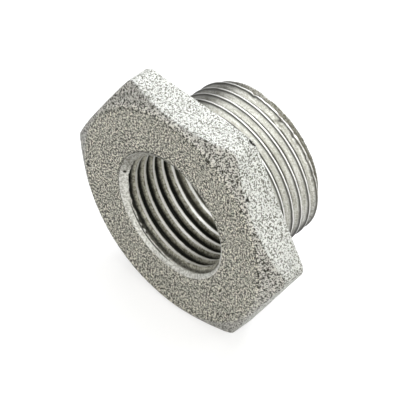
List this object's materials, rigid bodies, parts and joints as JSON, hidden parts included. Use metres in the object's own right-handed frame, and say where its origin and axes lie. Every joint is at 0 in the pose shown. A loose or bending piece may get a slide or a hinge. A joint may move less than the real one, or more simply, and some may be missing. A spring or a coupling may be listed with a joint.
{
  "type": "hex bushing",
  "caption": "Galvanised malleable-iron hex reducing bushing with a tapered male pipe thread and a smaller female pipe thread.",
  "frame": {"origin": "centre of the hex face on the bore axis", "axes": "+Y along the bore axis towards the male thread, +Z square to a hex flat, +X towards a hex corner"},
  "size_m": [0.0432, 0.0192, 0.038],
  "materials": {
    "galvanised_iron": "galvanised, as cast, with machined threads"
  },
  "bodies": {
    "root": {"hex_bushing": "galvanised_iron"}
  },
  "joints": []
}
